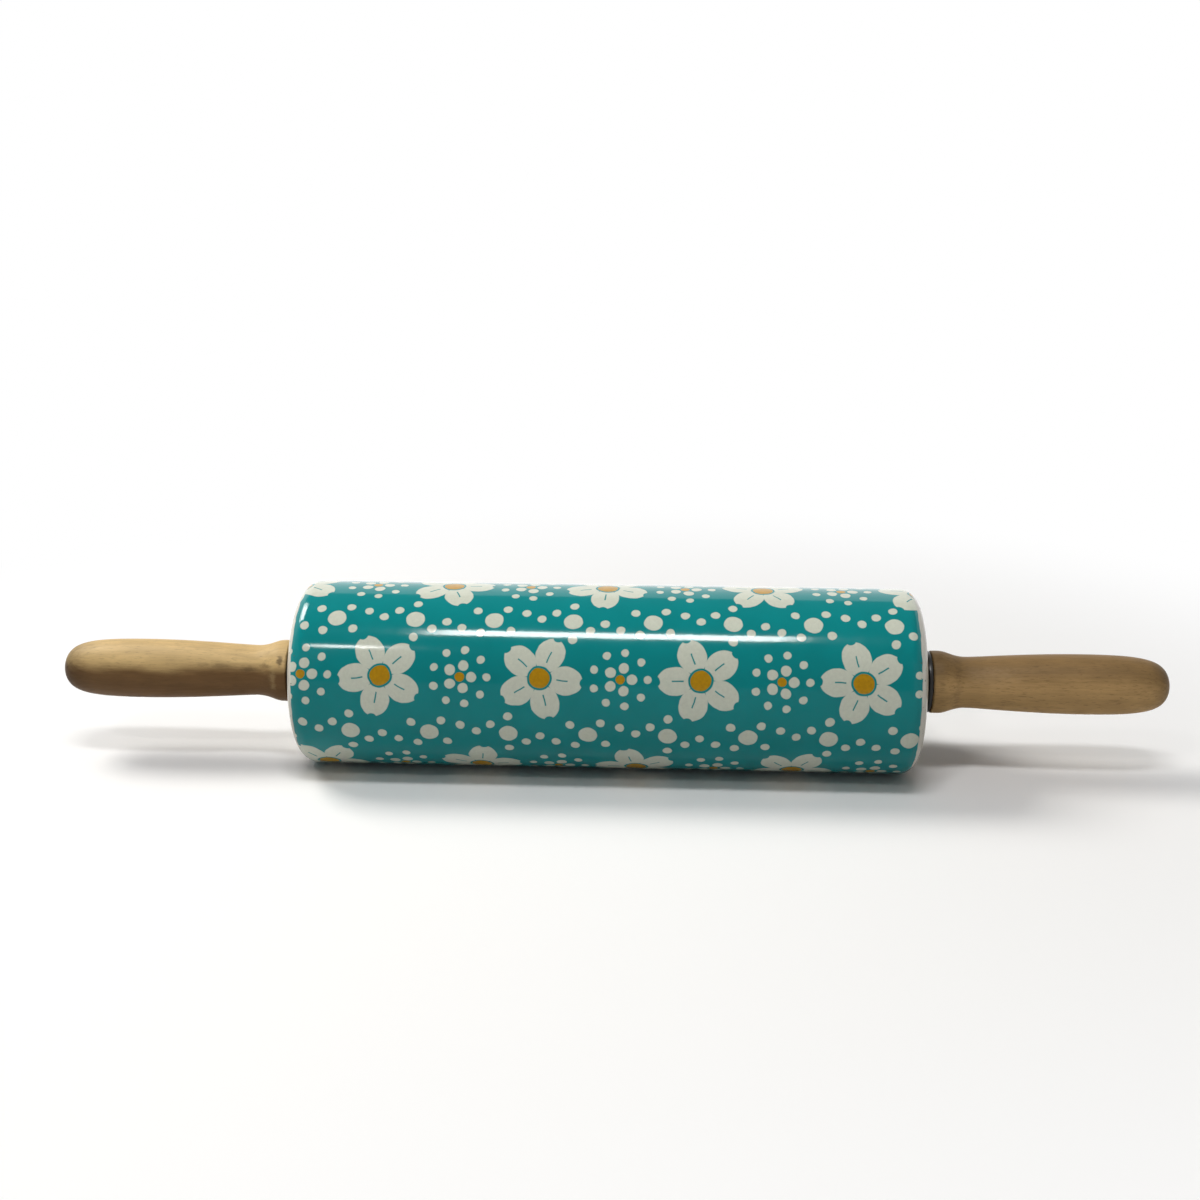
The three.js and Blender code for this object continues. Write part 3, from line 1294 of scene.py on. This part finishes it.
@dataclass(frozen=True)
class SoftLamp:
    """A rectangular studio lamp aimed at the pin, which may show as a shine only and light nothing."""

    name: str
    place: tuple[float, float, float]
    aim: tuple[float, float, float]
    size: tuple[float, float]
    power: float
    colour: Colour = WHITE
    shine_only: bool = False

    def build(self) -> None:
        """Hangs the lamp with its long side along the pin."""
        lamp = bpy.data.lights.new(self.name, "AREA")
        lamp.shape = "RECTANGLE"
        lamp.size, lamp.size_y = self.size
        lamp.energy = self.power
        lamp.color = self.colour
        holder = bpy.data.objects.new(self.name, lamp)
        holder.location = self.place
        holder.visible_diffuse = not self.shine_only
        aim = Vector(self.aim) - Vector(self.place)
        holder.rotation_euler = aim.to_track_quat("-Z", "Y").to_euler()
        bpy.context.scene.collection.objects.link(holder)


@dataclass
class Studio:
    """The pale floor with its backdrop, the soft light and the camera."""

    floor_height: float = -35.1 * MM
    floor_size: float = 6.0
    floor_cuts: int = 2
    wall_height: float = 3.0
    front_height: float = 0.45
    seen_paper: Colour = (0.97, 0.97, 0.97)
    lit_paper: Colour = (0.66, 0.66, 0.66)
    near_floor: float = 0.14
    far_floor: float = 0.45
    room_blend: float = 0.08
    room_shine: tuple[float, float] = (0.6, 1.3)
    sky: Colour = WHITE
    sky_strength: float = 0.25
    azimuth: float = 2.486
    elevation: float = 20.0
    distance: float = 551.7 * MM
    aim: tuple[float, float, float] = (-3.0 * MM, 0.0, 30.4 * MM)
    roll: float = 0.04
    lens: float = 43.12
    sensor: float = 36.0
    lamps: tuple[SoftLamp, ...] = (
        SoftLamp("overhead_strip", (-0.041, -0.409, 1.118), (0.0, 0.0, 0.0), (0.42, 0.14), 4.6),
        SoftLamp(
            "strip_shine", (-0.041, -0.416, 1.137), (0.0, 0.0, 0.0), (0.427, 0.143), 4.9,
            shine_only=True,
        ),
        SoftLamp("left_key", (-0.9, 0.375, 1.14), (-0.05, 0.0, 0.0), (0.6, 0.6), 14.6, (1.0, 0.97, 0.92)),
        SoftLamp(
            "left_rim_shine", (-0.82, 0.27, 1.16), (-0.1, 0.0, 0.0), (0.45, 0.45), 11.0,
            shine_only=True,
        ),
        SoftLamp("left_glint", (-0.325, -0.636, 0.772), (-0.1, 0.0, 0.03), (0.1, 0.05), 0.72),
    )

    def raise_wall(self, floor: bpy.types.Object, facing: bool, height: float) -> None:
        """Raises the floor's border into a wall: the stretch before the barrel's front, or the rest.

        Args:
            floor: The floor, cut into a grid.
            facing: Whether the stretch in front of the barrel is meant.
            height: The wall's height.
        """
        bpy.ops.object.mode_set(mode="EDIT")
        bpy.ops.mesh.select_mode(type="EDGE")
        bpy.ops.mesh.select_all(action="DESELECT")
        bpy.ops.object.mode_set(mode="OBJECT")
        out = self.floor_size / 2 - MM
        for edge in floor.data.edges:
            ends = [floor.data.vertices[index].co for index in edge.vertices]
            low = all(end.z < self.floor_height + MM for end in ends)
            border = any(all(abs(end[axis]) > out for end in ends) for axis in (0, 1))
            front = all(end.y < -out and abs(end.x) < out for end in ends)
            edge.select = low and border and front == facing
        bpy.ops.object.mode_set(mode="EDIT")
        bpy.ops.mesh.extrude_edges_move(TRANSFORM_OT_translate={"value": (0, 0, height)})
        bpy.ops.mesh.select_mode(type="VERT")
        bpy.ops.object.mode_set(mode="OBJECT")

    def floor(self) -> None:
        """Lays the floor, which keeps the shadow near the pin and runs out to white walls on all sides."""
        deselect()
        bpy.ops.mesh.primitive_plane_add(size=self.floor_size, location=(0, 0, self.floor_height))
        floor = bpy.context.object
        floor.name = "studio_floor"
        settle()
        bpy.ops.object.mode_set(mode="EDIT")
        bpy.ops.mesh.subdivide(number_cuts=self.floor_cuts)
        bpy.ops.object.mode_set(mode="OBJECT")
        self.raise_wall(floor, False, self.wall_height)
        self.raise_wall(floor, True, self.front_height)
        floor.data.materials.append(self.paper())

    def paper(self) -> bpy.types.Material:
        """White paper, plain white far from the pin, that throws back less light than it shows.

        Shiny pieces reflect it darker in front of the pin and brighter behind, as in a room lit from
        the back.

        Returns:
            The finished material.
        """
        sheet = Sheet("pale_paper")
        x, y, z = sheet.place()
        away = (x.squared() + y.squared() + z.squared()).root()
        path = sheet.node("ShaderNodeLightPath")
        mirrored = Signal(sheet, path.outputs["Is Glossy Ray"])
        seen = mirrored.at_least(Signal(sheet, path.outputs["Is Camera Ray"]))
        seen = seen.at_least(Signal(sheet, path.outputs["Is Transmission Ray"]))
        room = sheet.spread(sheet.between(y, -self.room_blend, self.room_blend), *self.room_shine)
        level = 1.0 + mirrored * (room - 1.0)
        paper = sheet.node("ShaderNodeBsdfDiffuse")
        colour = sheet.mix(seen, self.lit_paper, self.seen_paper)
        sheet.plug(paper.inputs["Color"], sheet.shade(colour, level))
        white = sheet.node("ShaderNodeEmission")
        sheet.plug(white.inputs["Color"], WHITE)
        sheet.plug(white.inputs["Strength"], level)
        blend = sheet.node("ShaderNodeMixShader")
        sheet.plug(blend.inputs[0], sheet.between(away, self.near_floor, self.far_floor) * seen)
        sheet.plug(blend.inputs[1], paper.outputs[0])
        sheet.plug(blend.inputs[2], white.outputs[0])
        sheet.plug(sheet.output.inputs["Surface"], blend.outputs[0])
        return sheet.material

    def sky_light(self) -> None:
        """Sets the even light from all round."""
        world = bpy.data.worlds.new("studio_sky")
        world.use_nodes = True
        light = world.node_tree.nodes["Background"]
        light.inputs["Color"].default_value = (*self.sky, 1.0)
        light.inputs["Strength"].default_value = self.sky_strength
        bpy.context.scene.world = world

    def camera(self) -> None:
        """Sets the camera at the viewing angle, with a slight roll."""
        lens = bpy.data.cameras.new("front_camera")
        lens.sensor_fit = "HORIZONTAL"
        lens.sensor_width = self.sensor
        lens.lens = self.lens
        camera = bpy.data.objects.new("front_camera", lens)
        turned, lift = math.radians(self.azimuth), math.radians(self.elevation)
        level = math.cos(lift)
        out = Vector((math.sin(turned) * level, -math.cos(turned) * level, math.sin(lift)))
        camera.location = out * self.distance
        facing = (Vector(self.aim) - camera.location).to_track_quat("-Z", "Y")
        tilt = Quaternion((0.0, 0.0, 1.0), math.radians(self.roll))
        camera.rotation_euler = (facing @ tilt).to_euler()
        bpy.context.scene.collection.objects.link(camera)
        bpy.context.scene.camera = camera

    def build(self) -> None:
        """Sets up floor, light, camera and plain colour handling."""
        bpy.context.scene.view_settings.view_transform = "Standard"
        self.floor()
        self.sky_light()
        for lamp in self.lamps:
            lamp.build()
        self.camera()


def main() -> None:
    """Builds the studio and the pin's sub-assemblies in order."""
    logging.basicConfig(level=logging.INFO, format="%(name)s: %(message)s")
    for assembly in (Studio(), Roller(), Washers(), HandleSet()):
        assembly.build()


if __name__ == "__main__":
    main()
